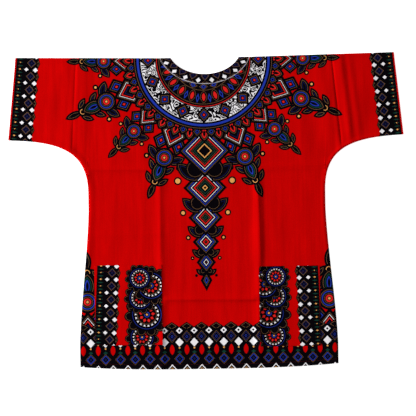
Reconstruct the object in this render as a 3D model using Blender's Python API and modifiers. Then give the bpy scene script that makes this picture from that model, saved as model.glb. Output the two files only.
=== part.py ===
"""Dashiki shirt, laid flat on a surface, front side up.

Metres, +X to the wearer's left sleeve as the front is seen, +Y towards the shoulders, +Z up.
The origin is the middle of the outline, on the surface that the shirt lies on.
"""
import math
from collections import namedtuple

import bmesh
import bpy

# Cut of the shirt
LENGTH = 0.800              # top of the cuffs to the hem
SLEEVE_SPAN = 1.0072        # lower corner of one cuff to the other
CUFF_TOP_SPAN = 0.964       # upper corner of one cuff to the other
CUFF_DEPTH = 0.2103         # upper corner of a cuff to its lower corner
CHEST_WIDTH = 0.604
HEM_WIDTH = 0.658
HEM_CORNER_RISE = 0.0095    # the hem dips at its middle by this much
SHOULDER_SLOPE = 0.0063     # the cuffs' upper corners lie this much above the neck points
UNDERARM_DROP = 0.3493      # top of the cuffs to where the side becomes straight
UNDERARM_PULL_UP = 0.104    # how far the side runs on before it turns into the sleeve
UNDERARM_PULL_OUT = 0.140   # how far the sleeve's underside runs in before it turns down
UNDERARM_DIP = 0.005
FLARE_DROP = 0.045          # underarm to where the body starts to widen
FLARE_LENGTH = 0.350

# Neck: parts of ellipses about one centre above the shoulder line
NECK_HALF_WIDTH = 0.0936
NECK_HALF_HEIGHT = 0.0676
NECK_CENTRE_RISE = 0.0255
NECKBAND_WIDTH = 0.0255

# Cloth
WALL = 0.0012
SEAM_GAP = 0.0003
CREASE_REACH = 0.0145       # half the width of a pressed crease
CREASE_FADE = 0.040         # how far a crease runs on past its ends

# Worked out from the cut
TOP_Y = LENGTH / 2
HEM_Y = -LENGTH / 2
SHOULDER_Y = TOP_Y - SHOULDER_SLOPE
UNDERARM_Y = TOP_Y - UNDERARM_DROP
CUFF_LOW_Y = TOP_Y - CUFF_DEPTH
FRONT_Z = WALL + SEAM_GAP

# Pockets: the inner edges lie on the two long creases
LEFT_POCKET_OUTER_X = -0.2895
LEFT_POCKET_INNER_X = -0.1180
LEFT_POCKET_TOP_Y = -0.1325
LEFT_POCKET_BOTTOM_Y = -0.3365
RIGHT_POCKET_INNER_X = 0.1300
RIGHT_POCKET_OUTER_X = 0.2845
RIGHT_POCKET_TOP_Y = -0.1410
RIGHT_POCKET_BOTTOM_Y = -0.3450

# Pressed creases from the shirt's folding, which stand up as low ridges
CHEST_CREASE_Y = 0.1115
CENTRE_CREASE_Y = -0.2225
SLEEVE_CREASE_TOP_X = 0.3250
SLEEVE_CREASE_LOW_X = 0.3450
SLEEVE_CREASE_LOW_Y = 0.1690

Crease = namedtuple("Crease", "start end start_height end_height")
CREASES = (
    Crease((LEFT_POCKET_INNER_X, 0.110), (LEFT_POCKET_INNER_X, HEM_Y), 0.0022, 0.0030),
    Crease((RIGHT_POCKET_INNER_X, 0.110), (RIGHT_POCKET_INNER_X, HEM_Y), 0.0042, 0.0030),
    Crease((-0.292, CHEST_CREASE_Y), (-0.100, CHEST_CREASE_Y), 0.0020, 0.0026),
    Crease((0.112, CHEST_CREASE_Y), (0.292, CHEST_CREASE_Y), 0.0030, 0.0020),
    Crease((-0.130, CENTRE_CREASE_Y), (0.145, CENTRE_CREASE_Y), 0.0018, 0.0026),
    Crease((-SLEEVE_CREASE_TOP_X, TOP_Y), (-SLEEVE_CREASE_LOW_X, SLEEVE_CREASE_LOW_Y), 0.0022, 0.0030),
    Crease((SLEEVE_CREASE_TOP_X, TOP_Y), (SLEEVE_CREASE_LOW_X, SLEEVE_CREASE_LOW_Y), 0.0036, 0.0026),
)

# Broad soft swells where the front cloth stands off the back
Swell = namedtuple("Swell", "x y half_width half_length height")
SWELLS = (
    Swell(0.000, 0.060, 0.100, 0.210, 0.0016),
    Swell(-0.210, 0.230, 0.085, 0.110, 0.0014),
    Swell(0.215, 0.220, 0.080, 0.120, 0.0018),
    Swell(0.395, 0.290, 0.050, 0.090, 0.0024),
    Swell(-0.410, 0.290, 0.055, 0.090, 0.0018),
)

# Lines of the cloth's grid: a place, and the number of steps from it to the next
COLUMN_STOPS = (
    (-CHEST_WIDTH / 2, 1),
    (LEFT_POCKET_OUTER_X, 4),
    (LEFT_POCKET_INNER_X - CREASE_REACH, 1),
    (LEFT_POCKET_INNER_X, 16),
    (RIGHT_POCKET_INNER_X, 1),
    (RIGHT_POCKET_INNER_X + CREASE_REACH, 4),
    (RIGHT_POCKET_OUTER_X, 1),
    (CHEST_WIDTH / 2, 0),
)
ROW_STOPS = (
    (HEM_Y, 2),
    (RIGHT_POCKET_BOTTOM_Y, 1),
    (LEFT_POCKET_BOTTOM_Y, 3),
    (CENTRE_CREASE_Y - CREASE_REACH, 1),
    (CENTRE_CREASE_Y, 1),
    (CENTRE_CREASE_Y + CREASE_REACH, 2),
    (RIGHT_POCKET_TOP_Y, 1),
    (LEFT_POCKET_TOP_Y, 4),
    (UNDERARM_Y, 2),
    (CHEST_CREASE_Y - CREASE_REACH, 1),
    (CHEST_CREASE_Y, 1),
    (CHEST_CREASE_Y + CREASE_REACH, 7),
    (SHOULDER_Y, 0),
)
SLEEVE_COLUMN_STOPS = (
    (CHEST_WIDTH / 2, 3),
    (SLEEVE_CREASE_LOW_X - CREASE_REACH, 1),
    (SLEEVE_CREASE_LOW_X, 1),
    (SLEEVE_CREASE_LOW_X + CREASE_REACH, 5),
    (SLEEVE_SPAN / 2, 0),
)
NECKBAND_ROWS = 2


def spread(stops):
    """Every line's place, evenly spaced between the stops."""
    places = []
    for (start, steps), (end, _) in zip(stops, stops[1:]):
        places += [start + (end - start) * step / steps for step in range(steps)]
    return places + [stops[-1][0]]


def line_at(lines, place):
    """The number of the grid line that lies at a place."""
    return min(range(len(lines)), key=lambda number: abs(lines[number] - place))


def mix(start, end, share):
    return start + (end - start) * share


def ease(share):
    share = min(max(share, 0.0), 1.0)
    return share * share * (3 - 2 * share)


def side_half_width(y):
    """Half the body's width, from the underarm down to the hem."""
    share = min(max((UNDERARM_Y - FLARE_DROP - y) / FLARE_LENGTH, 0.0), 1.0)
    return mix(CHEST_WIDTH, HEM_WIDTH, (share + ease(share)) / 2) / 2


def hem_y(x):
    return HEM_Y + HEM_CORNER_RISE * abs(2 * x / HEM_WIDTH) ** 3


def neck_point(share, growth):
    """A point of the neckline, share -1 to 1 from shoulder to shoulder, grown outwards."""
    half_height = NECK_HALF_HEIGHT + growth
    angle = math.acos(NECK_CENTRE_RISE / half_height) * share
    x = (NECK_HALF_WIDTH + growth) * math.sin(angle)
    return x, SHOULDER_Y + NECK_CENTRE_RISE - half_height * math.cos(angle)


NECK_EDGE_GROWTH = NECKBAND_WIDTH + SEAM_GAP
NECK_END_X = neck_point(1, NECK_EDGE_GROWTH)[0]


def shoulder_y(x):
    share = (abs(x) - NECK_END_X) / (CUFF_TOP_SPAN / 2 - NECK_END_X)
    return SHOULDER_Y + SHOULDER_SLOPE * max(share, 0.0)


def underarm_point(share):
    """A point of the curve from the top of the straight side to the cuff's lower corner."""
    side_x = CHEST_WIDTH / 2
    cuff_x = SLEEVE_SPAN / 2
    handles = (
        (side_x, UNDERARM_Y),
        (side_x, UNDERARM_Y + UNDERARM_PULL_UP),
        (cuff_x - UNDERARM_PULL_OUT, CUFF_LOW_Y - UNDERARM_DIP),
        (cuff_x, CUFF_LOW_Y),
    )
    rest = 1 - share
    weights = (rest ** 3, 3 * rest ** 2 * share, 3 * rest * share ** 2, share ** 3)
    return tuple(sum(w * handle[axis] for w, handle in zip(weights, handles)) for axis in (0, 1))


def underarm_share_at(x):
    """How far along the underarm curve it reaches x, found by halving."""
    low, high = 0.0, 1.0
    for _ in range(40):
        middle = (low + high) / 2
        if underarm_point(middle)[0] < x:
            low = middle
        else:
            high = middle
    return (low + high) / 2


COLUMNS = spread(COLUMN_STOPS)
ROWS = spread(ROW_STOPS)
UNDERARM_ROW = line_at(ROWS, UNDERARM_Y)
NECK_LEFT_COLUMN = line_at(COLUMNS, LEFT_POCKET_INNER_X)
NECK_RIGHT_COLUMN = line_at(COLUMNS, RIGHT_POCKET_INNER_X)
SLEEVE_SHARES = spread([(underarm_share_at(x), steps) for x, steps in SLEEVE_COLUMN_STOPS])


def upper_share(row):
    """How far a row lies from the underarm level to the top edge."""
    return (ROWS[row] - UNDERARM_Y) / (SHOULDER_Y - UNDERARM_Y)


def top_edge_point(column):
    """Where a column of the body ends: on the neckline or on the shoulder line."""
    if NECK_LEFT_COLUMN <= column <= NECK_RIGHT_COLUMN:
        share = (column - NECK_LEFT_COLUMN) / (NECK_RIGHT_COLUMN - NECK_LEFT_COLUMN)
        return neck_point(2 * share - 1, NECK_EDGE_GROWTH)
    inner = COLUMNS[NECK_LEFT_COLUMN] if column < NECK_LEFT_COLUMN else COLUMNS[NECK_RIGHT_COLUMN]
    share = (abs(COLUMNS[column]) - abs(inner)) / (CHEST_WIDTH / 2 - abs(inner))
    x = math.copysign(mix(NECK_END_X, CHEST_WIDTH / 2, share), inner)
    return x, shoulder_y(x)


def body_point(column, row):
    """Plan of the body's grid: straight threads above the underarm, upright ones below it."""
    x = COLUMNS[column]
    if row >= UNDERARM_ROW:
        share = upper_share(row)
        top_x, top_y = top_edge_point(column)
        return mix(x, top_x, share), mix(UNDERARM_Y, top_y, share)
    y = ROWS[row]
    if column in (0, len(COLUMNS) - 1):
        x = math.copysign(side_half_width(y), x)
    if y < RIGHT_POCKET_BOTTOM_Y:
        share = (RIGHT_POCKET_BOTTOM_Y - y) / (RIGHT_POCKET_BOTTOM_Y - HEM_Y)
        y = mix(RIGHT_POCKET_BOTTOM_Y, hem_y(x), share)
    return x, y


def sleeve_point(column, row, side):
    """Plan of a sleeve's grid, from the body's edge (column 0) out to the cuff."""
    low_x, low_y = underarm_point(SLEEVE_SHARES[column])
    if low_x < SLEEVE_CREASE_LOW_X:
        share = (low_x - CHEST_WIDTH / 2) / (SLEEVE_CREASE_LOW_X - CHEST_WIDTH / 2)
        top_x = mix(CHEST_WIDTH / 2, SLEEVE_CREASE_TOP_X, share)
    else:
        share = (low_x - SLEEVE_CREASE_LOW_X) / (SLEEVE_SPAN / 2 - SLEEVE_CREASE_LOW_X)
        top_x = mix(SLEEVE_CREASE_TOP_X, CUFF_TOP_SPAN / 2, share)
    share = upper_share(row + UNDERARM_ROW)
    return side * mix(low_x, top_x, share), mix(low_y, shoulder_y(top_x), share)


def crease_height(crease, x, y):
    """Height of a pressed crease: a low tent across its line, which fades out past its ends."""
    (start_x, start_y), (end_x, end_y) = crease.start, crease.end
    run_x, run_y = end_x - start_x, end_y - start_y
    length = math.hypot(run_x, run_y)
    along = ((x - start_x) * run_x + (y - start_y) * run_y) / length
    across = abs((x - start_x) * run_y - (y - start_y) * run_x) / length
    past_end = max(-along, along - length, 0.0)
    height = mix(crease.start_height, crease.end_height, min(max(along / length, 0.0), 1.0))
    tent = max(1 - across / CREASE_REACH, 0.0)
    return height * tent * max(1 - past_end / CREASE_FADE, 0.0)


def swell_height(swell, x, y):
    across = (x - swell.x) / swell.half_width
    along = (y - swell.y) / swell.half_length
    return swell.height * ease(1 - math.hypot(across, along))


def relief(x, y):
    """How far the front cloth stands up from lying dead flat."""
    highest_crease = max(crease_height(crease, x, y) for crease in CREASES)
    return highest_crease + sum(swell_height(swell, x, y) for swell in SWELLS)


def fabric_material(name, colour, roughness):
    material = bpy.data.materials.new(name)
    material.use_nodes = True
    shader = material.node_tree.nodes["Principled BSDF"]
    shader.inputs["Base Color"].default_value = (*colour, 1.0)
    shader.inputs["Roughness"].default_value = roughness
    shader.inputs["Metallic"].default_value = 0.0
    return material


def add_grid(mesh, columns, rows, place):
    """Adds a grid to a mesh and moves its point in each column and row to place(column, row)."""
    made = bmesh.ops.create_grid(mesh, x_segments=columns, y_segments=rows, size=1.0)
    for vertex in made["verts"]:
        column = round((vertex.co.x + 1) / 2 * columns)
        row = round((vertex.co.y + 1) / 2 * rows)
        vertex.co = place(column, row)


def finish_cloth(mesh, name, material, collection):
    """Makes the named object from an open sheet and gives the sheet its wall upwards."""
    bmesh.ops.remove_doubles(mesh, verts=mesh.verts, dist=0.00001)
    bmesh.ops.triangulate(mesh, faces=mesh.faces, quad_method="FIXED")
    data = bpy.data.meshes.new(name)
    mesh.to_mesh(data)
    mesh.free()
    data.materials.append(material)
    cloth = bpy.data.objects.new(name, data)
    collection.objects.link(cloth)
    wall = cloth.modifiers.new("wall", "SOLIDIFY")
    wall.thickness = WALL
    wall.offset = 1.0
    wall.use_even_offset = True


def build_panel(name, height_at, material, collection):
    """The T-shaped cloth: the body's grid with a sleeve's grid on each side."""
    mesh = bmesh.new()
    columns = len(COLUMNS) - 1
    rows = len(ROWS) - 1
    sleeve_columns = len(SLEEVE_SHARES) - 1
    sleeve_rows = rows - UNDERARM_ROW

    def raised(point):
        return (*point, height_at(*point))

    add_grid(mesh, columns, rows, lambda c, r: raised(body_point(c, r)))
    add_grid(mesh, sleeve_columns, sleeve_rows, lambda c, r: raised(sleeve_point(c, r, 1)))
    add_grid(mesh, sleeve_columns, sleeve_rows,
             lambda c, r: raised(sleeve_point(sleeve_columns - c, r, -1)))
    finish_cloth(mesh, name, material, collection)


def build_neckband(name, height, material, collection):
    """Half of the neckband, inside the panel's neckline and in the panel's plane."""
    mesh = bmesh.new()
    steps = NECK_RIGHT_COLUMN - NECK_LEFT_COLUMN

    def place(step, row):
        growth = NECKBAND_WIDTH * (1 - row / NECKBAND_ROWS)
        return (*neck_point(2 * step / steps - 1, growth), height)

    add_grid(mesh, steps, NECKBAND_ROWS, place)
    finish_cloth(mesh, name, material, collection)


def build_pocket(name, left_x, right_x, bottom_y, top_y, material, collection):
    """A patch pocket, made from the front panel's own points moved out."""
    mesh = bmesh.new()
    first_column = line_at(COLUMNS, left_x)
    first_row = line_at(ROWS, bottom_y)

    def place(column, row):
        point = body_point(first_column + column, first_row + row)
        return (*point, FRONT_Z + relief(*point) + WALL + SEAM_GAP)

    add_grid(mesh, line_at(COLUMNS, right_x) - first_column, line_at(ROWS, top_y) - first_row, place)
    finish_cloth(mesh, name, material, collection)


for old in list(bpy.data.objects):
    bpy.data.objects.remove(old)

shirt = bpy.data.collections.new("dashiki_shirt")
bpy.context.scene.collection.children.link(shirt)

build_panel("back_panel", lambda x, y: 0.0,
            fabric_material("back_cotton", (0.45, 0.003, 0.003), 0.75), shirt)
build_panel("front_panel", lambda x, y: FRONT_Z + relief(x, y),
            fabric_material("front_cotton", (0.48, 0.003, 0.003), 0.75), shirt)
build_neckband("neckband_back", 0.0,
               fabric_material("neckband_back_cotton", (0.02, 0.03, 0.16), 0.75), shirt)
build_neckband("neckband_front", FRONT_Z,
               fabric_material("neckband_front_cotton", (0.03, 0.04, 0.20), 0.75), shirt)
build_pocket("pocket_left", LEFT_POCKET_OUTER_X, LEFT_POCKET_INNER_X,
             LEFT_POCKET_BOTTOM_Y, LEFT_POCKET_TOP_Y,
             fabric_material("pocket_left_cotton", (0.05, 0.04, 0.12), 0.75), shirt)
build_pocket("pocket_right", RIGHT_POCKET_INNER_X, RIGHT_POCKET_OUTER_X,
             RIGHT_POCKET_BOTTOM_Y, RIGHT_POCKET_TOP_Y,
             fabric_material("pocket_right_cotton", (0.06, 0.04, 0.10), 0.75), shirt)
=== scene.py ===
"""Dashiki shirt of red printed cotton, laid flat on a pale floor and seen from straight above."""
import math

import bpy
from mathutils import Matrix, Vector, kdtree, noise
from mathutils.bvhtree import BVHTree


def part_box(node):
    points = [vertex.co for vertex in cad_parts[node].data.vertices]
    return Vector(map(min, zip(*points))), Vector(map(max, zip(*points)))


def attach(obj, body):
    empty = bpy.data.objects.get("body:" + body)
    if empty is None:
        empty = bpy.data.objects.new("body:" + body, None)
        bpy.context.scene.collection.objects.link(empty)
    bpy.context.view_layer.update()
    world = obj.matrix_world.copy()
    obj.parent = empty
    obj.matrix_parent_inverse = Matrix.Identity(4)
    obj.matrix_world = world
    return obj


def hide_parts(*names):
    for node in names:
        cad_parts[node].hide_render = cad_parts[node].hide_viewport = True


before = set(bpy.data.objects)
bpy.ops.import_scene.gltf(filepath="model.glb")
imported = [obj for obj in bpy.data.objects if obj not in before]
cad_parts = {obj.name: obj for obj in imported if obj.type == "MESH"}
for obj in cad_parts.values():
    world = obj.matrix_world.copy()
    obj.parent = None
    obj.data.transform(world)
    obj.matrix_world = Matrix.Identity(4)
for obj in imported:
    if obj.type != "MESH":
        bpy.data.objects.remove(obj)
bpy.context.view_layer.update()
bpy.ops.object.select_all(action="DESELECT")


# The room
# A pale matt floor, a camera straight above it, turned a little as the shirt lies in the
# photograph, and soft studio light that comes lowest from the left.
METRES_PER_PIXEL = 0.00255
PICTURE_PIXELS = 416
PICTURE_CENTRE = (0.0026, 0.0098)
PICTURE_TURN = math.radians(-0.9)
CAMERA_HEIGHT = 4.0

bpy.ops.mesh.primitive_plane_add(size=14.0, location=(0, 0, -0.0004))
floor = bpy.context.object
floor.name = "floor"
floor_paint = bpy.data.materials.new("pale_floor")
floor_paint.use_nodes = True
floor_shader = floor_paint.node_tree.nodes["Principled BSDF"]
floor_shader.inputs["Base Color"].default_value = (0.97, 0.97, 0.97, 1)
floor_shader.inputs["Roughness"].default_value = 0.9
floor_shader.inputs["Specular IOR Level"].default_value = 0.0
floor_shader.inputs["Emission Color"].default_value = (1, 1, 1, 1)
floor_shader.inputs["Emission Strength"].default_value = 0.65
floor.data.materials.append(floor_paint)

camera_data = bpy.data.cameras.new("overhead")
camera_data.sensor_width = 36.0
camera_data.lens = camera_data.sensor_width * CAMERA_HEIGHT / (PICTURE_PIXELS * METRES_PER_PIXEL)
camera = bpy.data.objects.new("overhead", camera_data)
camera.location = (*PICTURE_CENTRE, CAMERA_HEIGHT)
camera.rotation_euler = (0, 0, PICTURE_TURN)
bpy.context.scene.collection.objects.link(camera)
bpy.context.scene.camera = camera


def add_panel_light(name, place, size, power):
    """A square soft light that looks at the shirt's middle."""
    data = bpy.data.lights.new(name, "AREA")
    data.size = size
    data.energy = power
    light = bpy.data.objects.new(name, data)
    light.location = place
    light.rotation_euler = (-Vector(place)).to_track_quat("-Z", "Y").to_euler()
    bpy.context.scene.collection.objects.link(light)


add_panel_light("key_light", (-5.6, 1.05, 2.07), 1.0, 775)
add_panel_light("fill_light", (2.6, -1.6, 3.4), 3.0, 39)
room = bpy.data.worlds.new("studio")
room.use_nodes = True
room.node_tree.nodes["Background"].inputs["Color"].default_value = (1, 1, 1, 1)
room.node_tree.nodes["Background"].inputs["Strength"].default_value = 0.335
bpy.context.scene.world = room
bpy.context.scene.view_settings.view_transform = "Standard"


# The printed cotton
# Plain-weave cotton with a wax-resist print: black shapes with a thin tan line inside their
# edge, filled with blue, red, green or white, on a red ground. Lengths are metres on the
# cloth. The print is kept in node groups that every printed piece uses.
BLACK = (0.0020, 0.0013, 0.0024)
RED = (0.445, 0.0004, 0.0005)
BRIGHT_RED = (0.560, 0.012, 0.010)
TAN = (0.165, 0.085, 0.037)
GOLD = (0.620, 0.290, 0.080)
BLUE = (0.012, 0.030, 0.300)
NAVY = (0.005, 0.007, 0.045)
DIM_BLUE = (0.015, 0.017, 0.086)
GREEN = (0.004, 0.032, 0.022)
WHITE = (0.700, 0.680, 0.700)
RAMP_DEPTH = 0.040          # how deep inside a shape's edge its bands can reach
TAN_LINE = 0.0007
ROW_REACH = 9               # longer than any row of shapes, so that only X is folded


def feed(tree, socket, value):
    """Sets a socket to a constant, or links it to another node's output."""
    if isinstance(value, bpy.types.NodeSocket):
        tree.links.new(value, socket)
    elif isinstance(value, tuple) and len(value) == 3 and socket.type == "RGBA":
        socket.default_value = (*value, 1)
    else:
        socket.default_value = value


def calc(tree, operation, *values):
    """A Math node: returns its output."""
    node = tree.nodes.new("ShaderNodeMath")
    node.operation = operation
    for number, value in enumerate(values):
        feed(tree, node.inputs[number], value)
    return node.outputs[0]


def vector_calc(tree, operation, *values):
    """A Vector Math node: returns its number where the operation gives one, else its vector."""
    node = tree.nodes.new("ShaderNodeVectorMath")
    node.operation = operation
    for number, value in enumerate(values):
        feed(tree, node.inputs[number], value)
    return node.outputs["Value" if operation in ("DISTANCE", "DOT_PRODUCT", "LENGTH") else "Vector"]


def combine(tree, x, y):
    """A place on the cloth from its two measures."""
    node = tree.nodes.new("ShaderNodeCombineXYZ")
    feed(tree, node.inputs["X"], x)
    feed(tree, node.inputs["Y"], y)
    return node.outputs[0]


def separate(tree, place):
    """The two measures of a place on the cloth."""
    node = tree.nodes.new("ShaderNodeSeparateXYZ")
    feed(tree, node.inputs[0], place)
    return node.outputs["X"], node.outputs["Y"]


def mixed(tree, share, under, over):
    """One colour laid over another, by a share from 0 to 1."""
    node = tree.nodes.new("ShaderNodeMix")
    node.data_type = "RGBA"
    feed(tree, node.inputs[0], share)
    feed(tree, node.inputs[6], under)
    feed(tree, node.inputs[7], over)
    return node.outputs[2]


def repeated(tree, place, pitch, offset=0.0):
    """Folds a place along X into one step of a row of like shapes."""
    if offset:
        place = vector_calc(tree, "ADD", place, (offset, 0, 0))
    return vector_calc(tree, "WRAP", place, (pitch / 2, ROW_REACH, ROW_REACH),
                       (-pitch / 2, -ROW_REACH, -ROW_REACH))


def lozenge(tree, place, centre, half_width, half_height):
    """Distance to the edge of an upright lozenge, negative inside."""
    scale = half_width * half_height / math.hypot(half_width, half_height)
    away = vector_calc(tree, "ABSOLUTE", vector_calc(tree, "SUBTRACT", place, (*centre, 0)))
    reach = vector_calc(tree, "DOT_PRODUCT", away, (scale / half_width, scale / half_height, 0))
    return calc(tree, "SUBTRACT", reach, scale)


def disc(tree, place, centre, radius):
    """Distance to the edge of a disc, negative inside."""
    return calc(tree, "SUBTRACT", vector_calc(tree, "DISTANCE", place, (*centre, 0)), radius)


def leaf(tree, place, centre, half_width, half_length):
    """Distance to the edge of a pointed oval, two equal arcs that meet at its ends."""
    radius = (half_width ** 2 + half_length ** 2) / (2 * half_width)
    away = vector_calc(tree, "ABSOLUTE", vector_calc(tree, "SUBTRACT", place, (*centre, 0)))
    to_arc_centre = vector_calc(tree, "DISTANCE", away, (half_width - radius, 0, 0))
    return calc(tree, "SUBTRACT", to_arc_centre, radius)


def turned(tree, place, centre, degrees):
    """A place turned about a centre on the cloth."""
    node = tree.nodes.new("ShaderNodeVectorRotate")
    node.rotation_type = "Z_AXIS"
    feed(tree, node.inputs["Vector"], place)
    node.inputs["Center"].default_value = (*centre, 0)
    node.inputs["Angle"].default_value = math.radians(degrees)
    return node.outputs[0]


def banded(tree, value, span, bands):
    """A colour for each stretch of a value from 0 to span: bands are (where it starts, colour)."""
    share = calc(tree, "DIVIDE", value, span)
    ramp = tree.nodes.new("ShaderNodeValToRGB")
    ramp.color_ramp.interpolation = "CONSTANT"
    elements = ramp.color_ramp.elements
    while len(elements) < len(bands):
        elements.new(1.0)
    for element, (start, colour) in zip(elements, bands):
        element.position = start / span
        element.color = (*colour, 1)
    feed(tree, ramp.inputs[0], share)
    return ramp.outputs[0]


def painted(tree, under, distance, *bands):
    """Paints a shape over a colour: bands of colour, each from a depth inside its edge."""
    over = banded(tree, calc(tree, "MULTIPLY", distance, -1), RAMP_DEPTH, bands)
    return mixed(tree, calc(tree, "LESS_THAN", distance, 0), under, over)


def outlined(tree, under, distance, fill=(), edge=0.0036):
    """A shape with the print's usual outline: black, a thin tan line, black, then its fill."""
    return painted(tree, under, distance, (0, BLACK), (edge, TAN), (edge + TAN_LINE, BLACK), *fill)


def start_group(name, takes, gives):
    """A new shader node group with named inputs and outputs."""
    group = bpy.data.node_groups.new(name, "ShaderNodeTree")
    for socket_name, kind in takes:
        group.interface.new_socket(socket_name, in_out="INPUT", socket_type="NodeSocket" + kind)
    for socket_name, kind in gives:
        group.interface.new_socket(socket_name, in_out="OUTPUT", socket_type="NodeSocket" + kind)
    return group, group.nodes.new("NodeGroupInput").outputs


def end_group(group, *values):
    """Joins values to the group's outputs, in their order, and returns the group."""
    out = group.nodes.new("NodeGroupOutput")
    for socket, value in zip(out.inputs, values):
        feed(group, socket, value)
    return group


def use(tree, group, *values):
    """Places a group in a tree and returns its outputs."""
    node = tree.nodes.new("ShaderNodeGroup")
    node.node_tree = group
    for socket, value in zip(node.inputs, values):
        feed(tree, socket, value)
    return node.outputs


PRINT_SOCKETS = ([("Ground", "Color"), ("Place", "Vector")], [("Colour", "Color")])


def make_hem_print():
    """The border above the hem: X runs along it and Y up from the hem, to about 116 mm."""
    tree, given = start_group("hem_print", *PRINT_SOCKETS)
    pitch = 0.0377
    border_height = 0.109
    lower_height = 0.0575
    on = repeated(tree, given["Place"], pitch)
    between = repeated(tree, given["Place"], pitch, pitch / 2)
    height = separate(tree, given["Place"])[1]
    colour = mixed(tree, calc(tree, "LESS_THAN", height, border_height), given["Ground"], BLACK)
    colour = outlined(tree, colour, lozenge(tree, between, (0, 0.1100), 0.0170, 0.0110), edge=0.0028)
    for centre, half_width, half_height in ((0.0985, 0.0084, 0.0080), (0.0690, 0.0104, 0.0112)):
        colour = painted(tree, colour, lozenge(tree, on, (0, centre), half_width, half_height), (0, WHITE))
    colour = painted(tree, colour, lozenge(tree, on, (0, 0.0985), 0.0036, 0.0036), (0, BLACK))
    colour = outlined(tree, colour, lozenge(tree, between, (0, 0.0835), 0.0188, 0.0225),
                      ((0.0070, DIM_BLUE), (0.0082, BLACK), (0.0116, BLUE), (0.0126, BLACK)), 0.0046)
    colour = mixed(tree, calc(tree, "LESS_THAN", height, lower_height), colour, BLACK)
    colour = painted(tree, colour, leaf(tree, between, (0, 0.0500), 0.0080, 0.0155), (0, BLACK),
                     (0.0020, RED))
    colour = painted(tree, colour, disc(tree, on, (0, 0.0548), 0.0022), (0, GOLD))
    colour = outlined(tree, colour, lozenge(tree, on, (0, 0.0270), 0.0188, 0.0200),
                      ((0.0060, BLUE), (0.0078, BLACK), (0.0108, NAVY)), 0.0038)
    colour = painted(tree, colour, lozenge(tree, on, (0, 0.0440), 0.0060, 0.0040), (0, GREEN))
    colour = painted(tree, colour, lozenge(tree, between, (0, 0.0000), 0.0150, 0.0170), (0, BLACK),
                     (0.0026, WHITE), (0.0048, BLACK), (0.0080, GOLD), (0.0090, BLACK))
    return end_group(tree, colour)


CUFF_PITCH = 0.0340


def make_cuff_print():
    """The narrower border of the cuffs and pockets: X runs along it and Y in from its edge."""
    tree, given = start_group("cuff_print", *PRINT_SOCKETS)
    on = repeated(tree, given["Place"], CUFF_PITCH)
    between = repeated(tree, given["Place"], CUFF_PITCH, CUFF_PITCH / 2)
    bars = repeated(tree, given["Place"], CUFF_PITCH / 4)
    height = separate(tree, given["Place"])[1]
    half_depth = 0.0275
    inside = calc(tree, "COMPARE", height, half_depth, half_depth)
    colour = mixed(tree, inside, given["Ground"], BLACK)
    colour = outlined(tree, colour, lozenge(tree, between, (0, 0.0550), 0.0140, 0.0056), edge=0.0022)
    colour = painted(tree, colour, lozenge(tree, bars, (0, 0.0100), 0.0028, 0.0120), (0, BLACK),
                     (0.0009, GREEN))
    for row, size in ((on, 0.0040), (between, 0.0030)):
        bead = lozenge(tree, row, (0, 0.0100), size * 0.8, size * 1.3)
        colour = painted(tree, colour, bead, (0, BLACK), (0.0008, GOLD))
    for centre, half_width, half_height in ((0.0265, 0.0050, 0.0056), (0.0495, 0.0062, 0.0066)):
        colour = painted(tree, colour, lozenge(tree, on, (0, centre), half_width, half_height), (0, WHITE))
    colour = outlined(tree, colour, lozenge(tree, between, (0, 0.0385), 0.0165, 0.0160),
                      ((0.0052, DIM_BLUE), (0.0062, BLACK), (0.0090, NAVY)), 0.0034)
    return end_group(tree, colour)


def make_spear_print():
    """A hanging chain of shapes, 190 mm long from Y 0 and mirrored about X 0."""
    tree, given = start_group("spear_print", *PRINT_SOCKETS)
    across, along = separate(tree, given["Place"])
    half = combine(tree, calc(tree, "ABSOLUTE", across), along)
    colour = given["Ground"]
    for centre, degrees, half_width, half_length in (
        ((0.0180, 0.1420), -38, 0.0080, 0.0170),
        ((0.0210, 0.1120), -38, 0.0085, 0.0180),
        ((0.0290, 0.0830), -52, 0.0120, 0.0225),
    ):
        petal = leaf(tree, turned(tree, half, centre, degrees), centre, half_width, half_length)
        colour = outlined(tree, colour, petal, ((0.0074, NAVY), (0.0088, BLACK)), 0.0042)
    colour = painted(tree, colour, disc(tree, half, (0.0410, 0.0965), 0.0070), (0, BLACK), (0.0042, GOLD))
    colour = outlined(tree, colour, leaf(tree, half, (0, 0.1690), 0.0095, 0.0230), edge=0.0044)
    colour = painted(tree, colour, disc(tree, half, (0, 0.1470), 0.0115), (0, BLACK), (0.0052, GOLD),
                     (0.0066, BLACK))
    colour = outlined(tree, colour, leaf(tree, half, (0, 0.1190), 0.0180, 0.0300),
                      ((0.0086, GREEN), (0.0110, BLACK), (0.0128, BLUE), (0.0150, BLACK)), 0.0050)
    colour = outlined(tree, colour, disc(tree, half, (0, 0.0860), 0.0240),
                      ((0.0082, BLUE), (0.0106, BLACK), (0.0132, TAN), (0.0138, BLACK), (0.0162, BRIGHT_RED),
                       (0.0196, BLACK), (0.0214, GOLD)), 0.0054)
    colour = outlined(tree, colour, lozenge(tree, half, (0.0225, 0.0500), 0.0215, 0.0255),
                      ((0.0088, BLUE), (0.0108, BLACK), (0.0138, BRIGHT_RED)), 0.0052)
    colour = outlined(tree, colour, lozenge(tree, half, (0, 0.0250), 0.0345, 0.0420),
                      ((0.0086, WHITE), (0.0098, BLACK), (0.0126, BRIGHT_RED), (0.0146, BLACK),
                       (0.0178, NAVY), (0.0194, BLACK), (0.0222, GREEN)), 0.0058)
    return end_group(tree, colour)


def ringed(tree, angle, radius, count, offset=0.0):
    """Folds a place about a centre into one of so many steps: X along the ring, Y outwards."""
    step = math.tau / count
    turn = calc(tree, "WRAP", calc(tree, "ADD", angle, offset * step), step / 2, -step / 2)
    return combine(tree, calc(tree, "MULTIPLY", turn, radius), radius)


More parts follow.
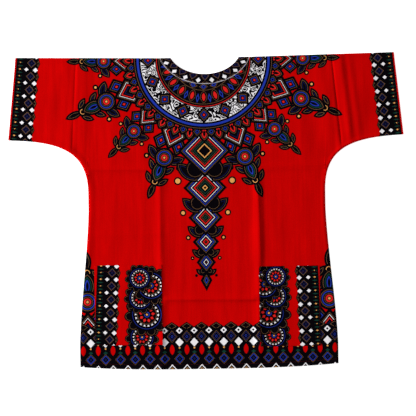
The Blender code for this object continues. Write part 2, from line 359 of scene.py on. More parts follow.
def make_sun_print():
    """A dark round sun of petals and dots, 50 mm in radius about its place's origin."""
    tree, given = start_group("sun_print", *PRINT_SOCKETS)
    ring_radius = 0.0400
    across, up = separate(tree, given["Place"])
    angle = calc(tree, "ARCTAN2", across, up)
    radius = vector_calc(tree, "LENGTH", given["Place"])
    petals = ringed(tree, angle, radius, 11)
    colour = outlined(tree, given["Ground"], leaf(tree, petals, (0, 0.0400), 0.0130, 0.0135), edge=0.0032)
    rings = banded(tree, radius, 0.1, (
        (0, GOLD), (0.0022, BLACK), (0.0046, BLUE), (0.0066, BLACK), (0.0218, TAN), (0.0225, BLACK),
        (0.0246, WHITE), (0.0280, BLACK), (0.0330, BLUE), (0.0337, BLACK)))
    colour = mixed(tree, calc(tree, "LESS_THAN", radius, ring_radius), colour, rings)
    dots = ringed(tree, angle, radius, 9)
    colour = painted(tree, colour, lozenge(tree, dots, (0, 0.0145), 0.0038, 0.0046), (0, BRIGHT_RED))
    ticks = ringed(tree, angle, radius, 18)
    colour = painted(tree, colour, lozenge(tree, ticks, (0, 0.0262), 0.0036, 0.0034), (0, BLACK))
    return end_group(tree, colour)


def make_yoke_print():
    """The round yoke, its ring of spears and the long column down the front.

    Place is measured from the middle of the yoke, with Y up the shirt.
    """
    tree, given = start_group("yoke_print", *PRINT_SOCKETS)
    across, up = separate(tree, given["Place"])
    angle = calc(tree, "ARCTAN2", across, calc(tree, "MULTIPLY", up, -1))
    radius = vector_calc(tree, "LENGTH", given["Place"])

    spear_foot, long_spear, short_spear = 0.176, 1.11, 0.93
    spear_step = math.tau / 16
    turn = calc(tree, "WRAP", angle, spear_step / 2, -spear_step / 2)
    parity = calc(tree, "PINGPONG", calc(tree, "ROUND", calc(tree, "DIVIDE", angle, spear_step)), 1)
    scale = calc(tree, "MULTIPLY_ADD", parity, short_spear - long_spear, long_spear)
    side = calc(tree, "MULTIPLY", calc(tree, "MULTIPLY", radius, calc(tree, "SINE", turn)), scale)
    reach = calc(tree, "MULTIPLY", radius, calc(tree, "COSINE", turn))
    out = calc(tree, "MULTIPLY", calc(tree, "SUBTRACT", reach, spear_foot), scale)
    colour = use(tree, spear_print, given["Ground"], combine(tree, side, out))[0]

    half = combine(tree, calc(tree, "ABSOLUTE", across), up)
    for centre, half_width, half_height in (
        (-0.562, 0.0150, 0.0280),
        (-0.516, 0.0250, 0.0320),
        (-0.464, 0.0340, 0.0380),
        (-0.402, 0.0440, 0.0460),
        (-0.326, 0.0560, 0.0570),
        (-0.232, 0.0680, 0.0680),
    ):
        joint = centre - half_height * 0.80
        wing = (half_width * 0.66, joint)
        if half_width > 0.02:
            petal = leaf(tree, turned(tree, half, wing, 48), wing, half_width * 0.26, half_width * 0.54)
            colour = outlined(tree, colour, petal, ((0.0080, NAVY), (0.0096, BLACK)), 0.0044)
            knuckle = disc(tree, half, (half_width * 0.36, joint + half_width * 0.12), half_width * 0.36)
            colour = outlined(tree, colour, knuckle, edge=0.0044)
            knob = (half_width * 1.02, joint - half_width * 0.32)
            knob_shape = disc(tree, half, knob, half_width * 0.15)
            colour = painted(tree, colour, knob_shape, (0, BLACK), (0.0036, GOLD))
        colour = outlined(tree, colour, lozenge(tree, half, (0, centre), half_width, half_height),
                          ((0.0090, BLUE), (0.0108, BLACK), (0.0140, WHITE), (0.0154, BLACK),
                           (0.0192, BRIGHT_RED), (0.0216, BLACK), (0.0244, TAN), (0.0251, BLACK),
                           (0.0280, GREEN), (0.0304, BLACK), (0.0346, GOLD), (0.0370, BLACK)), 0.0064)

    beads = ringed(tree, angle, radius, 32)
    bead_gaps = ringed(tree, angle, radius, 32, 0.5)
    colour = outlined(tree, colour, leaf(tree, beads, (0, 0.1880), 0.0145, 0.0220),
                      ((0.0080, BRIGHT_RED), (0.0110, BLACK)), 0.0050)
    colour = outlined(tree, colour, lozenge(tree, bead_gaps, (0, 0.1840), 0.0160, 0.0170),
                      ((0.0078, BLUE), (0.0092, BLACK)), 0.0046)
    yoke_radius = 0.1790
    rings = banded(tree, radius, 0.2, (
        (0, BLACK), (0.0770, TAN), (0.0777, BLACK), (0.1120, TAN), (0.1127, BLACK), (0.1172, BRIGHT_RED),
        (0.1190, BLACK), (0.1224, WHITE), (0.1590, BLACK), (0.1638, BLUE), (0.1692, BLACK), (0.1742, TAN),
        (0.1749, BLACK)))
    colour = mixed(tree, calc(tree, "LESS_THAN", radius, yoke_radius), colour, rings)

    white_middle, white_half, vein_turns, vein_share = 0.1407, 0.0176, 13, 0.85
    squiggle = tree.nodes.new("ShaderNodeTexNoise")
    feed(tree, squiggle.inputs["Vector"], given["Place"])
    squiggle.inputs["Scale"].default_value = 84
    squiggle.inputs["Detail"].default_value = 0.0
    squiggle.inputs["Distortion"].default_value = 0.35
    wave = calc(tree, "SINE", calc(tree, "MULTIPLY", squiggle.outputs[0], vein_turns))
    veins = calc(tree, "LESS_THAN", calc(tree, "ABSOLUTE", wave), vein_share)
    in_white = calc(tree, "COMPARE", radius, white_middle, white_half)
    colour = mixed(tree, calc(tree, "MULTIPLY", veins, in_white), colour, BLACK)

    stars = ringed(tree, angle, radius, 16)
    colour = outlined(tree, colour, lozenge(tree, stars, (0, 0.1405), 0.0200, 0.0220),
                      ((0.0080, BLUE), (0.0096, BLACK), (0.0122, BRIGHT_RED)), 0.0050)
    petals = ringed(tree, angle, radius, 20)
    petal_gaps = ringed(tree, angle, radius, 20, 0.5)
    colour = painted(tree, colour, leaf(tree, petals, (0, 0.0950), 0.0085, 0.0155), (0, TAN), (0.0006, BLACK),
                     (0.0040, BRIGHT_RED))
    colour = painted(tree, colour, lozenge(tree, petal_gaps, (0, 0.0985), 0.0046, 0.0120), (0, BLUE),
                     (0.0020, BLACK))
    studs = ringed(tree, angle, radius, 16)
    colour = painted(tree, colour, lozenge(tree, studs, (0, 0.0690), 0.0110, 0.0080), (0, TAN),
                     (0.0007, BLACK), (0.0022, BLUE), (0.0044, BLACK))
    return end_group(tree, colour)


def make_weave():
    """Plain weave, threads of uneven thickness and a dye that took unevenly, with painted shade that darkens
    the colour in the gaps between threads.
    """
    tree, given = start_group("cotton_weave", [("Colour", "Color"), ("Place", "Vector")],
                              [("Colour", "Color"), ("Height", "Float"), ("Roughness", "Float")])
    thread_pitch = 0.00055
    heights = []
    for number, axis in enumerate(((1, 0.05, 0), (0.05, 1, 0))):
        streaks = tree.nodes.new("ShaderNodeTexNoise")
        feed(tree, streaks.inputs["Vector"], vector_calc(tree, "MULTIPLY", given["Place"], axis))
        streaks.inputs["Scale"].default_value = 900
        streaks.inputs["Detail"].default_value = 1.0
        measure = separate(tree, given["Place"])[number]
        ribs = calc(tree, "SINE", calc(tree, "MULTIPLY", measure, math.pi / thread_pitch))
        heights.append(calc(tree, "MULTIPLY", calc(tree, "ABSOLUTE", ribs), streaks.outputs[0]))
    height = calc(tree, "MAXIMUM", *heights)
    dye = tree.nodes.new("ShaderNodeTexNoise")
    feed(tree, dye.inputs["Vector"], vector_calc(tree, "MULTIPLY", given["Place"], (1, 0.35, 1)))
    dye.inputs["Scale"].default_value = 26
    dye.inputs["Detail"].default_value = 3.0
    dye_tone_and_painted_shade = calc(tree, "MULTIPLY_ADD", dye.outputs[0], 0.30, 0.82)
    warp = tree.nodes.new("ShaderNodeTexNoise")
    feed(tree, warp.inputs["Vector"], vector_calc(tree, "MULTIPLY", given["Place"], (1, 0.04, 1)))
    warp.inputs["Scale"].default_value = 190
    warp.inputs["Detail"].default_value = 2.0
    dye_tone_and_painted_shade = calc(tree, "MULTIPLY", dye_tone_and_painted_shade, calc(tree, "MULTIPLY_ADD", warp.outputs[0], 0.34, 0.85))
    # Painted shade: the colour is darkened where the weave's height is low, in the gaps between threads, and
    # lightened on their crowns.
    dye_tone_and_painted_shade = calc(tree, "MULTIPLY", dye_tone_and_painted_shade, calc(tree, "MULTIPLY_ADD", height, 0.14, 0.95))
    tinted = vector_calc(tree, "SCALE", given["Colour"])
    feed(tree, tinted.node.inputs["Scale"], dye_tone_and_painted_shade)
    rough = calc(tree, "MULTIPLY_ADD", height, -0.12, 0.92)
    return end_group(tree, tinted, height, rough)


hem_print = make_hem_print()
cuff_print = make_cuff_print()
spear_print = make_spear_print()
sun_print = make_sun_print()
yoke_print = make_yoke_print()
weave = make_weave()


def start_cotton(name):
    """A cotton material whose print reads the piece's own map, in metres on the cloth."""
    material = bpy.data.materials.new(name)
    material.use_nodes = True
    tree = material.node_tree
    map_node = tree.nodes.new("ShaderNodeUVMap")
    map_node.uv_map = "cut"
    return material, tree, map_node.outputs["UV"]


def end_cotton(tree, colour, place):
    """Lays the weave over a print and joins both to the cloth's shader."""
    shader = tree.nodes["Principled BSDF"]
    shaded, height, rough = use(tree, weave, colour, place)
    tree.links.new(shaded, shader.inputs["Base Color"])
    tree.links.new(rough, shader.inputs["Roughness"])
    bump = tree.nodes.new("ShaderNodeBump")
    bump.inputs["Strength"].default_value = 0.35
    bump.inputs["Distance"].default_value = 0.00025
    tree.links.new(height, bump.inputs["Height"])
    tree.links.new(bump.outputs[0], shader.inputs["Normal"])
    shader.inputs["Specular IOR Level"].default_value = 0.004


# The sewing thread
# Rows of lockstitch in dark red thread hold the front's hem and cuffs, the neckband and the
# pockets. Each stitch is short, thickest in the middle, and sinks into the cloth at both ends.
STITCH_PITCH = 0.0030
STITCH_LENGTH = 0.0023
THREAD_WIDTH = 0.00036
DARK_THREAD = (0.070, 0.0004, 0.0004)
LIGHT_THREAD = (0.170, 0.0008, 0.0008)
SUNK_END = 0.3              # how far a stitch's ends lie in the cloth, in thread widths
THREAD_SECTION = ((-0.5, 0.1), (0.0, 0.6), (0.5, 0.1), (0.0, -0.4))     # (sideways, up), in widths
thread = bpy.data.materials.new("red_thread")
thread.use_nodes = True
tree = thread.node_tree
coordinates = tree.nodes.new("ShaderNodeTexCoord")
ply = tree.nodes.new("ShaderNodeTexNoise")
feed(tree, ply.inputs["Vector"], coordinates.outputs["Object"])
ply.inputs["Scale"].default_value = 1800
shader = tree.nodes["Principled BSDF"]
ply_red = mixed(tree, ply.outputs[0], DARK_THREAD, LIGHT_THREAD)
tree.links.new(ply_red, shader.inputs["Base Color"])
shader.inputs["Roughness"].default_value = 0.6
shader.inputs["Specular IOR Level"].default_value = 0.15


def surface_of(name):
    """Reads a piece's upper surface: returns a function that gives its height at a place."""
    tree = BVHTree.FromObject(bpy.data.objects[name], bpy.context.evaluated_depsgraph_get())

    def height(x, y):
        hit = tree.ray_cast(Vector((x, y, 1.0)), Vector((0, 0, -1)))[0]
        return hit.z if hit else 0.0

    return height


def add_stitches(name, cloth, rows):
    """Stitches along rows of places on a cloth piece, joined into one mesh."""
    height_at = surface_of(cloth.name)
    points, faces = [], []
    for row in rows:
        walked, due = 0.0, STITCH_PITCH / 2
        for (x, y), (next_x, next_y) in zip(row, row[1:]):
            run = math.hypot(next_x - x, next_y - y)
            run_x, run_y = (next_x - x) / run, (next_y - y) / run
            while due <= walked + run:
                middle_x = x + run_x * (due - walked)
                middle_y = y + run_y * (due - walked)
                base = height_at(middle_x, middle_y)
                first = len(points)
                for end in (-STITCH_LENGTH / 2, STITCH_LENGTH / 2):
                    end_x, end_y = middle_x + run_x * end, middle_y + run_y * end
                    points.append((end_x, end_y, height_at(end_x, end_y) - THREAD_WIDTH * SUNK_END))
                for end in (-STITCH_LENGTH / 4, STITCH_LENGTH / 4):
                    for side, rise in THREAD_SECTION:
                        offset = THREAD_WIDTH * side
                        points.append((middle_x + run_x * end - run_y * offset,
                                       middle_y + run_y * end + run_x * offset,
                                       base + THREAD_WIDTH * rise))
                for turn in range(4):
                    near, after = first + 2 + turn, first + 2 + (turn + 1) % 4
                    faces.append((first, near, after))
                    faces.append((near, near + 4, after + 4, after))
                    faces.append((first + 1, after + 4, near + 4))
                due += STITCH_PITCH
            walked += run
    mesh = bpy.data.meshes.new(name)
    mesh.from_pydata(points, [], faces)
    mesh.shade_smooth()
    mesh.materials.append(thread)
    stitches = bpy.data.objects.new(name, mesh)
    bpy.context.scene.collection.objects.link(stitches)
    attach(stitches, "root")
    return stitches


# The front
# Body and both half sleeves in one T of cloth, with a round neckline. It lies on the back,
# with pressed creases from having been folded, turned hems, and sides rolled in at the seams.
low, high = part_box("front_panel")
TOP_Y = high.y
HEM_Y = low.y
HALF_SPAN = high.x
CUFF_TOP_X = 0.4820
CUFF_LOW_Y = TOP_Y - 0.2103
SHOULDER_Y = TOP_Y - 0.0063
HALF_CHEST = 0.3020
HALF_HEM = 0.3290
STRAIGHT_HALF = 0.20        # the grid's columns flare with the sides only beyond this
UNDERARM_Y = TOP_Y - 0.3493
UNDERARM_HANDLES = ((HALF_CHEST, UNDERARM_Y), (HALF_CHEST, UNDERARM_Y + 0.104),
                    (HALF_SPAN - 0.140, CUFF_LOW_Y - 0.005), (HALF_SPAN, CUFF_LOW_Y))
FLARE_TOP_Y = UNDERARM_Y - 0.045
FLARE_LENGTH = 0.350
HEM_CORNER_RISE = 0.0095
NECK_HALF_WIDTH = 0.0936
NECK_HALF_HEIGHT = 0.0676
NECK_CENTRE_RISE = 0.0255
NECKBAND_WIDTH = 0.0255
SEAM_GAP = 0.0003
LEFT_CREASE_X = -0.1180
RIGHT_CREASE_X = 0.1300
CLOTH_THICKNESS = 0.0007


def mix(start, end, share):
    """The value at a share of the way between two others."""
    return start + (end - start) * share


def ease(share):
    """A share from 0 to 1 that starts and ends softly."""
    share = min(max(share, 0.0), 1.0)
    return share * share * (3 - 2 * share)


def side_x(y):
    """Half the body's width, which flares from under the arms to the hem."""
    share = min(max((FLARE_TOP_Y - y) / FLARE_LENGTH, 0.0), 1.0)
    return mix(HALF_CHEST, HALF_HEM, (share + ease(share)) / 2)


def hem_y(x):
    """The hem's height, which rises a little towards its corners."""
    return HEM_Y + HEM_CORNER_RISE * abs(x / HALF_HEM) ** 3


def neck_point(share, growth):
    """A point of the neckline, share -1 to 1 from shoulder to shoulder, grown outwards."""
    half_height = NECK_HALF_HEIGHT + growth
    angle = math.acos(NECK_CENTRE_RISE / half_height) * share
    x = (NECK_HALF_WIDTH + growth) * math.sin(angle)
    return x, SHOULDER_Y + NECK_CENTRE_RISE - half_height * math.cos(angle)


NECK_END_X = neck_point(1, NECKBAND_WIDTH + SEAM_GAP)[0]


def shoulder_y(x):
    """The shoulder's height, which rises a little towards the cuff."""
    return mix(SHOULDER_Y, TOP_Y, max((abs(x) - NECK_END_X) / (CUFF_TOP_X - NECK_END_X), 0.0))


def underarm_point(share):
    """A point of the curve from the body's side, share 0, to the cuff's lower corner, share 1."""
    rest = 1 - share
    weights = (rest ** 3, 3 * rest ** 2 * share, 3 * rest * share ** 2, share ** 3)
    return tuple(sum(w * handle[axis] for w, handle in zip(weights, UNDERARM_HANDLES)) for axis in (0, 1))


def spread(stops):
    """Grid lines between places, each stop being (place, widest step to the next)."""
    lines = []
    for (start, step), (end, _) in zip(stops, stops[1:]):
        steps = math.ceil((end - start) / step - 0.001)
        lines += [mix(start, end, number / steps) for number in range(steps)]
    return lines + [stops[-1][0]]


def panel_plan(step, fine):
    """The T's plan: points, faces, and the points on its sewn, hemmed and neck edges.

    Its grid is coarse, with finer steps along the long creases.
    """
    left_reach, right_reach = 0.012, 0.014
    (low_start, low_end), (chest_start, chest_end) = (-0.235, -0.210), (0.100, 0.124)
    columns = spread(((-HALF_CHEST, step), (LEFT_CREASE_X - left_reach, fine),
                      (LEFT_CREASE_X + left_reach, step), (RIGHT_CREASE_X - right_reach, fine),
                      (RIGHT_CREASE_X + right_reach, step), (HALF_CHEST, step)))
    rows = spread(((HEM_Y, step), (low_start, fine), (low_end, step), (UNDERARM_Y, step),
                   (chest_start, fine), (chest_end, step), (SHOULDER_Y, step)))
    first = min(range(len(columns)), key=lambda c: abs(columns[c] - LEFT_CREASE_X))
    last = min(range(len(columns)), key=lambda c: abs(columns[c] - RIGHT_CREASE_X))
    underarm_row = rows.index(UNDERARM_Y)
    points, faces, seen = [], [], {}
    edges = {"sewn": [], "hem": [], "neck": []}

    def top_of(column):
        if first <= column <= last:
            return neck_point(2 * (column - first) / (last - first) - 1, NECKBAND_WIDTH + SEAM_GAP)
        inner = columns[first] if column < first else columns[last]
        share = (abs(columns[column]) - abs(inner)) / (HALF_CHEST - abs(inner))
        x = math.copysign(mix(NECK_END_X, HALF_CHEST, share), inner)
        return x, shoulder_y(x)

    def body(column, row):
        x, y = columns[column], rows[row]
        if row >= underarm_row:
            share = (y - UNDERARM_Y) / (SHOULDER_Y - UNDERARM_Y)
            top_x, top_y = top_of(column)
            return mix(x, top_x, share), mix(UNDERARM_Y, top_y, share)
        stretch = ease((abs(x) - STRAIGHT_HALF) / (HALF_CHEST - STRAIGHT_HALF))
        x = math.copysign(mix(abs(x), side_x(y) * abs(x) / HALF_CHEST, stretch), x)
        return x, mix(hem_y(x), UNDERARM_Y, (y - HEM_Y) / (UNDERARM_Y - HEM_Y))

    def sleeve(column, row, side):
        low_x, low_y = underarm_point(sleeve_shares[column])
        top_x = mix(HALF_CHEST, CUFF_TOP_X, (low_x - HALF_CHEST) / (HALF_SPAN - HALF_CHEST))
        share = (rows[row + underarm_row] - UNDERARM_Y) / (SHOULDER_Y - UNDERARM_Y)
        return side * mix(low_x, top_x, share), mix(low_y, shoulder_y(top_x), share)

    def number_of(point):
        key = (round(point[0], 6), round(point[1], 6))
        if key not in seen:
            seen[key] = len(points)
            points.append(point)
        return seen[key]

    def add(column_count, row_count, place, flipped=False):
        net = [[number_of(place(c, r)) for c in range(column_count + 1)] for r in range(row_count + 1)]
        for r in range(row_count):
            for c in range(column_count):
                face = (net[r][c], net[r][c + 1], net[r + 1][c + 1], net[r + 1][c])
                faces.append(face[::-1] if flipped else face)
        return net

    sleeve_shares = spread(((0.0, 4.5 * fine), (0.62, 3 * step), (1.0, 1.0)))
    net = add(len(columns) - 1, len(rows) - 1, body)
    edges["hem"] += net[0]
    edges["neck"] += net[-1][first:last + 1]
    edges["sewn"] += net[-1][:first + 1] + net[-1][last:]
    edges["sewn"] += [row[end] for row in net[:underarm_row + 1] for end in (0, -1)]
    sleeve_rows = len(rows) - 1 - underarm_row
    for side in (1, -1):
        net = add(len(sleeve_shares) - 1, sleeve_rows, lambda c, r: sleeve(c, r, side), side < 0)
        edges["sewn"] += net[0] + net[-1]
        edges["hem"] += [row[-1] for row in net]
    return points, faces, edges


solid_top = surface_of("front_panel")
FLAT_TOP = low.z + 0.0012
LOFT = 0.0009               # the front stands this much off the back where nothing presses it
DENT = 0.0002               # and a crease may press it this far down
CREASES = (
    # start, end, height, spread to the left or above, spread to the right or below
    ((-0.1182, 0.140), (-0.1207, -0.130), 0.0011, 0.0120, 0.0034),
    ((-0.1165, -0.138), (-0.1180, -0.400), 0.0008, 0.0050, 0.0034),
    ((0.1272, 0.120), (0.1342, -0.040), 0.0015, 0.0085, 0.0034),
    ((0.1342, -0.040), (0.1352, -0.136), 0.0016, 0.0085, 0.0034),
    ((0.1290, -0.150), (0.1270, -0.400), 0.0008, 0.0070, 0.0030),
    ((-0.3275, 0.402), (-0.3415, 0.165), -0.0022, 0.0050, 0.0052),
    ((0.3225, 0.402), (0.3452, 0.165), -0.0032, 0.0034, 0.0044),
    ((-0.1150, 0.1085), (-0.3100, 0.1120), 0.0016, 0.0070, 0.0032),
    ((0.3080, 0.1150), (0.1260, 0.1160), 0.0011, 0.0060, 0.0030),
    ((0.3080, 0.1050), (0.1300, 0.1060), 0.0003, 0.0030, 0.0020),
    ((0.1310, -0.2245), (-0.1180, -0.2215), 0.0030, 0.0170, 0.0054),
    ((-0.1180, -0.0560), (-0.2950, -0.0550), 0.0011, 0.0080, 0.0060),
    ((0.3000, -0.0540), (0.1340, -0.0550), 0.0003, 0.0040, 0.0022),
)
FOLDS = (
    # start, end, half width, height: soft swells in the cloth
    ((-0.3060, 0.400), (-0.3220, 0.170), 0.0170, 0.0016),
    ((-0.3480, 0.400), (-0.3630, 0.170), 0.0160, 0.0013),
    ((0.2940, 0.400), (0.3190, 0.175), 0.0220, 0.0028),
    ((0.3430, 0.400), (0.3680, 0.175), 0.0115, 0.0040),
    ((0.3670, 0.395), (0.3920, 0.180), 0.0090, 0.0021),
    ((-0.3800, 0.360), (-0.3950, 0.200), 0.0140, 0.0006),
    ((-0.1630, 0.060), (-0.1640, -0.110), 0.0070, 0.0006),
    ((-0.1640, 0.300), (-0.1600, 0.130), 0.0110, 0.0007),
    ((-0.0980, 0.060), (-0.0990, -0.180), 0.0070, 0.0007),
    ((-0.0660, 0.010), (-0.0660, -0.190), 0.0080, 0.0006),
    ((0.1250, -0.232), (-0.1120, -0.229), 0.0045, -0.0005),
    ((-0.0760, -0.236), (-0.0740, -0.330), 0.0090, 0.0007),
    ((-0.0180, -0.236), (-0.0200, -0.340), 0.0080, 0.0004),
    ((0.0360, -0.230), (0.0400, -0.340), 0.0090, 0.0005),
    ((0.0800, -0.020), (0.0780, -0.200), 0.0080, 0.0005),
    ((0.1890, 0.080), (0.1880, -0.120), 0.0080, 0.0005),
    ((0.2420, 0.300), (0.2480, 0.120), 0.0110, 0.0008),
    ((0.2450, 0.060), (0.2560, -0.120), 0.0120, 0.0004),
    ((-0.2350, 0.300), (-0.2420, 0.130), 0.0110, 0.0008),
    ((-0.2400, 0.050), (-0.2440, -0.120), 0.0120, 0.0004),
    ((0.4200, 0.380), (0.4350, 0.200), 0.0100, 0.0005),
)


def beside_line(x, y, start, end):
    """How far along a line a place lies, how far to its right as it runs down, and its length."""
    run_x, run_y = end[0] - start[0], end[1] - start[1]
    length = math.hypot(run_x, run_y)
    along = ((x - start[0]) * run_x + (y - start[1]) * run_y) / length
    return along, ((y - start[1]) * run_x - (x - start[0]) * run_y) / length, length


def crease_relief(x, y, creases):
    """Pressed creases: a sharp line with a soft slope on each side, fading at its ends."""
    total = 0.0
    for start, end, height, before, after in creases:
        along, across, length = beside_line(x, y, start, end)
        if abs(across) > 0.05 or not -0.02 < along < length + 0.02:
            continue
        fade = ease((along + 0.02) / 0.04) * ease((length + 0.02 - along) / 0.04)
        uneven = 1 + 0.35 * noise.noise(Vector((along * 14, start[0] * 90, 3.0)))
        reach = before if across < 0 else after
        total += height * uneven * fade * math.exp(-abs(across) / reach)
    return total


def cloth_relief(x, y, folds, seed):
    """Soft upright swells and the fine unevenness of pressed cotton."""
    total = 0.00040 * noise.noise(Vector((x * 34, y * 5, seed)))
    total += 0.00016 * noise.noise(Vector((x * 90, y * 26, seed + 7)))
    for start, end, half_width, height in folds:
        along, across, length = beside_line(x, y, start, end)
        if abs(across) > 3 * half_width or not -0.04 < along < length + 0.04:
            continue
        fade = ease((along + 0.04) / 0.08) * ease((length + 0.04 - along) / 0.08)
        total += height * fade * math.exp(-(across / half_width) ** 2)
    return total


def front_height(x, y):
    """Height of the front's outer face, before its edges are shaped."""
    reach = 0.004
    around = ((0, 0), (reach, 0), (-reach, 0), (0, reach), (0, -reach))
    form = [max(solid_top(x + dx, y + dy), FLAT_TOP) for dx, dy in around]
    soft = sum(form) / len(form)
    lift = LOFT + crease_relief(x, y, CREASES) + cloth_relief(x, y, FOLDS, 1.0)
    return max(soft + lift, FLAT_TOP - DENT)


def edge_finder(points, numbers):
    """Returns a function that gives a place's distance to the nearest of some points."""
    tree = kdtree.KDTree(len(numbers))
    for number in numbers:
        tree.insert((*points[number], 0), number)
    tree.balance()
    return lambda x, y: tree.find((x, y, 0))[2]


def make_sheet(name, points, heights, faces, cut, thickness):
    """A cloth piece: its outer face from points and heights, its thickness added inwards."""
    mesh = bpy.data.meshes.new(name)
    mesh.from_pydata([(x, y, z) for (x, y), z in zip(points, heights)], [], faces)
    layer = mesh.uv_layers.new(name="cut")
    for loop in mesh.loops:
        layer.data[loop.index].uv = cut[loop.vertex_index]
    piece = bpy.data.objects.new(name, mesh)
    bpy.context.scene.collection.objects.link(piece)
    bpy.context.view_layer.objects.active = piece
    wall = piece.modifiers.new("wall", "SOLIDIFY")
    wall.thickness = thickness
    wall.offset = -1.0
    bpy.ops.object.modifier_apply(modifier="wall")
    mesh.shade_smooth()
    mesh.set_sharp_from_angle(angle=math.radians(50))
    return piece


points, faces, edges = panel_plan(0.0046, 0.0021)
to_sewn = edge_finder(points, edges["sewn"])
to_hem = edge_finder(points, edges["hem"])
HEM_TURN = 0.013
ROLL = 0.0026
LEFT_SEAM_WIDTH = 0.0200    # the seam allowance is pressed wider apart on this side
RIGHT_SEAM_WIDTH = 0.0120
SEAM_RISE = 0.0014
SEAM_HEIGHT = 0.0013        # where front and back meet
HEM_RISE = 0.0005


def shaped_edges(x, y, height, rest):
    """Rolls sewn edges down over their seam allowance, and gives hems their turned layer."""
    away = to_sewn(x, y)
    seam_width = LEFT_SEAM_WIDTH if x < 0 else RIGHT_SEAM_WIDTH
    least, slope = 0.35, 0.003
    height += SEAM_RISE * ease((seam_width - away) / (0.7 * seam_width))
    height = mix(rest, height, least + (1 - least) * ease(away / ROLL))
    turn = ease((HEM_TURN + slope / 2 - to_hem(x, y)) / slope)
    return height + HEM_RISE * turn


heights = [shaped_edges(x, y, front_height(x, y), SEAM_HEIGHT) for x, y in points]
front_cloth = make_sheet("front_cloth", points, heights, faces, points, CLOTH_THICKNESS)

printed_cotton, tree, place = start_cotton("printed_cotton")
YOKE_CENTRE = (-0.004, SHOULDER_Y - 0.006)
CUFF_SLANT = math.degrees(math.atan2(HALF_SPAN - CUFF_TOP_X, TOP_Y - CUFF_LOW_Y))
CUFF_STRIP = 0.0040
across, up = separate(tree, place)
half = combine(tree, calc(tree, "ABSOLUTE", across), up)
colour = use(tree, yoke_print, RED, vector_calc(tree, "SUBTRACT", place, (*YOKE_CENTRE, 0)))[0]
cuff_place = turned(tree, half, (HALF_SPAN, CUFF_LOW_Y), -CUFF_SLANT)
cuff_x, cuff_y = separate(tree, cuff_place)
cuff_place = combine(tree, cuff_y, calc(tree, "SUBTRACT", HALF_SPAN - CUFF_STRIP, cuff_x))
colour = use(tree, cuff_print, colour, cuff_place)[0]
SIDE_SPEAR_FOOT = (0.3080, -0.3300)
SIDE_SPEAR_SCALE = 0.82
from_side = calc(tree, "SUBTRACT", separate(tree, half)[0], SIDE_SPEAR_FOOT[0])
side_place = combine(tree, from_side, calc(tree, "SUBTRACT", up, SIDE_SPEAR_FOOT[1]))
side_place = vector_calc(tree, "MULTIPLY", side_place, (SIDE_SPEAR_SCALE, SIDE_SPEAR_SCALE, 1))
colour = use(tree, spear_print, colour, side_place)[0]
colour = use(tree, hem_print, colour, vector_calc(tree, "SUBTRACT", place, (0.0, HEM_Y, 0)))[0]
end_cotton(tree, colour, place)
front_cloth.data.materials.append(printed_cotton)

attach(front_cloth, "root")
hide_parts("front_panel")
HEM_ROW = 0.0115
ROW_END = 0.0018            # rows stop this far from an edge
HEM_ROW_HALF = 0.3265
HEM_ROW_STEP = 0.01
across_hem = spread(((-HEM_ROW_HALF, HEM_ROW_STEP), (HEM_ROW_HALF, HEM_ROW_STEP)))
rows = [[(x, hem_y(x) + HEM_ROW) for x in across_hem]]
for side in (-1, 1):
    rows.append([(side * (HALF_SPAN - HEM_ROW), CUFF_LOW_Y + ROW_END),
                 (side * (CUFF_TOP_X - HEM_ROW), TOP_Y - ROW_END)])
front_stitches = add_stitches("hem_stitches", front_cloth, rows)


# The back
# The same T of the same cloth, under the front and sewn to it at the shoulders, sleeves and
# sides. It lies on the floor, with the creases of the same folding seen from below.
points, faces, edges = panel_plan(0.0060, 0.0040)
to_sewn = edge_finder(points, edges["sewn"])
to_hem = edge_finder(points, edges["hem"])
BACK_TOP = 0.0009
BACK_SHARE = 0.22           # the weight of the front presses the back's creases down to this
BACK_CREASES = tuple((start, end, abs(height) * BACK_SHARE, before, after)
                     for start, end, height, before, after in CREASES)


def back_height(x, y):
    """Height of the back's upper face, kept between the floor and the front."""
    lift = crease_relief(x, y, BACK_CREASES) + 0.5 * cloth_relief(x, y, (), 40.0)
    return BACK_TOP + min(max(lift, -0.0001), 0.0005)


heights = [back_height(x, y) for x, y in points]
back_cloth = make_sheet("back_cloth", points, heights, faces, points, CLOTH_THICKNESS)
back_cloth.data.materials.append(printed_cotton)
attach(back_cloth, "root")
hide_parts("back_panel")


# The neckband
# A curved strip cut from the border of the cloth, in a front and a back half that meet at the
# shoulders. It is sewn round the neckline, and a pale grey line of uneven width is painted along its outer
# edge.
border_cotton, tree, place = start_cotton("border_cotton")
BORDER_CUT = 0.0330         # the strip is cut from this far up the border
PALE_EDGE = (0.36, 0.34, 0.37)
EDGE_WANDER = 0.0058
across = separate(tree, place)[1]
colour = use(tree, cuff_print, BLACK, vector_calc(tree, "ADD", place, (CUFF_PITCH / 2, BORDER_CUT, 0)))[0]
# A pale grey line of uneven width, painted along the band's outer edge.
patchy = tree.nodes.new("ShaderNodeTexNoise")
feed(tree, patchy.inputs["Vector"], place)
patchy.inputs["Scale"].default_value = 60
reach = calc(tree, "MULTIPLY_ADD", patchy.outputs[0], -EDGE_WANDER, NECKBAND_WIDTH + 0.0012)
colour = mixed(tree, calc(tree, "GREATER_THAN", across, reach), colour, PALE_EDGE)
end_cotton(tree, colour, place)


BAND_REACH = 0.137          # from the middle front to a shoulder, along the band's middle line


def make_neckband(name, node, height_at, steps, rows):
    """Half of the neckband, a little crowned between its two edges."""
    points, heights, cut = [], [], []
    for row in range(rows + 1):
        growth = NECKBAND_WIDTH * row / rows
        for step in range(steps + 1):
            share = 2 * step / steps - 1
            x, y = neck_point(share, growth)
            points.append((x, y))
            heights.append(height_at(x, y, row / rows))
            cut.append((share * BAND_REACH, growth))
    faces = []
    for row in range(rows):
        for step in range(steps):
            corner = row * (steps + 1) + step
            faces.append((corner, corner + steps + 1, corner + steps + 2, corner + 1))
    piece = make_sheet(name, points, heights, faces, cut, CLOTH_THICKNESS)
    piece.data.materials.append(border_cotton)
    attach(piece, "root")
    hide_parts(node)
    return piece


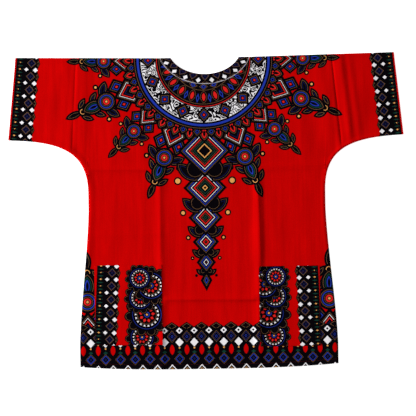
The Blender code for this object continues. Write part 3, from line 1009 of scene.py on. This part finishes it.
def front_band_height(x, y, share):
    """Height of the front half's upper face, crowned between its edges."""
    crown = 0.0004 * math.sin(math.pi * share) ** 0.5 if 0 < share < 1 else 0.0
    return FLAT_TOP + crown + 0.0003 * noise.noise(Vector((x * 60, y * 60, 9.0)))


neckband_front = make_neckband("neckband_front_cloth", "neckband_front", front_band_height, 130, 12)
BACK_BAND_TOP = 0.0011
neckband_back = make_neckband("neckband_back_cloth", "neckband_back",
                              lambda x, y, share: BACK_BAND_TOP, 80, 6)
BAND_ROWS = (0.0018, 0.0234)
BAND_ROW_SHARE = 0.985      # rows stop this near the shoulders
BAND_ROW_STEPS = 40
rows = [[neck_point(step / BAND_ROW_STEPS * BAND_ROW_SHARE, growth)
         for step in range(-BAND_ROW_STEPS, BAND_ROW_STEPS + 1)] for growth in BAND_ROWS]
band_stitches = add_stitches("neckband_stitches", neckband_front, rows)


# The pockets
# Two patch pockets with their edges turned in and sewn down, open at the top. Each is cut
# across the border of the cloth, so a strip of border runs down its outer side.
POCKETS = (
    # name, lower left corner, upper right corner, side of the border strip
    ("pocket_left", (-0.2895, -0.3365), (-0.1180, -0.1325), -1),
    ("pocket_right", (0.1300, -0.3450), (0.2845, -0.1410), 1),
)
POCKET_STEP = 0.0040
POCKET_LIFT = 0.0007        # what a turned pocket edge stands off the front
POCKET_CROWN = 0.0005
POCKET_RIDGE = 0.0002
POCKET_ROW = 0.0018
POCKET_HEM = 0.0160
SUNS = (
    # centre from the border side, centre from the bottom, scale
    (0.118, 0.026, 1.20),
    (0.128, 0.084, 0.92),
    (0.110, 0.126, 1.25),
    (0.136, 0.158, 1.05),
    (0.106, 0.176, 1.40),
)
LEFT_TILT, RIGHT_TILT = 3.0, -2.0
for node, (left, bottom), (right, top), side in POCKETS:
    columns = spread(((left, POCKET_STEP), (right, POCKET_STEP)))
    rows = spread(((bottom, POCKET_STEP), (top, POCKET_STEP)))
    points = [(x, y) for y in rows for x in columns]
    count = len(columns)
    faces = [(n, n + 1, n + 1 + count, n + count) for n in range(len(points) - count) if (n + 1) % count]
    heights = []
    for x, y in points:
        edge = min(x - left, right - x, y - bottom)
        rise = POCKET_LIFT + POCKET_CROWN * ease(edge / 0.004) + POCKET_RIDGE * ease(1 - edge / 0.008)
        heights.append(front_height(x, y) + rise)
    cut = [(x - left, y - bottom) for x, y in points]
    piece = make_sheet(node + "_cloth", points, heights, faces, cut, CLOTH_THICKNESS)

    material, tree, place = start_cotton(node + "_cotton")
    width = right - left
    tilted = turned(tree, place, (0, 0), LEFT_TILT if side < 0 else RIGHT_TILT)
    x_in, y_in = separate(tree, tilted)
    from_outer = x_in if side < 0 else calc(tree, "SUBTRACT", width, x_in)
    colour = RED
    for centre_x, centre_y, scale in SUNS:
        sun_place = combine(tree, calc(tree, "SUBTRACT", from_outer, centre_x),
                            calc(tree, "SUBTRACT", y_in, centre_y))
        sun_place = vector_calc(tree, "MULTIPLY", sun_place, (scale, scale, 1))
        colour = use(tree, sun_print, colour, sun_place)[0]
    colour = use(tree, cuff_print, colour, combine(tree, y_in, calc(tree, "ADD", from_outer, 0.003)))[0]
    end_cotton(tree, colour, place)
    piece.data.materials.append(material)
    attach(piece, "root")
    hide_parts(node)
    low_row, left_row, right_row = bottom + POCKET_ROW, left + POCKET_ROW, right - POCKET_ROW
    around = [(left_row, top - ROW_END), (left_row, low_row),
              (right_row, low_row), (right_row, top - ROW_END)]
    across_top = [(left_row, top - POCKET_HEM), (right_row, top - POCKET_HEM)]
    stitches = add_stitches(node + "_stitches", piece, [around, across_top])
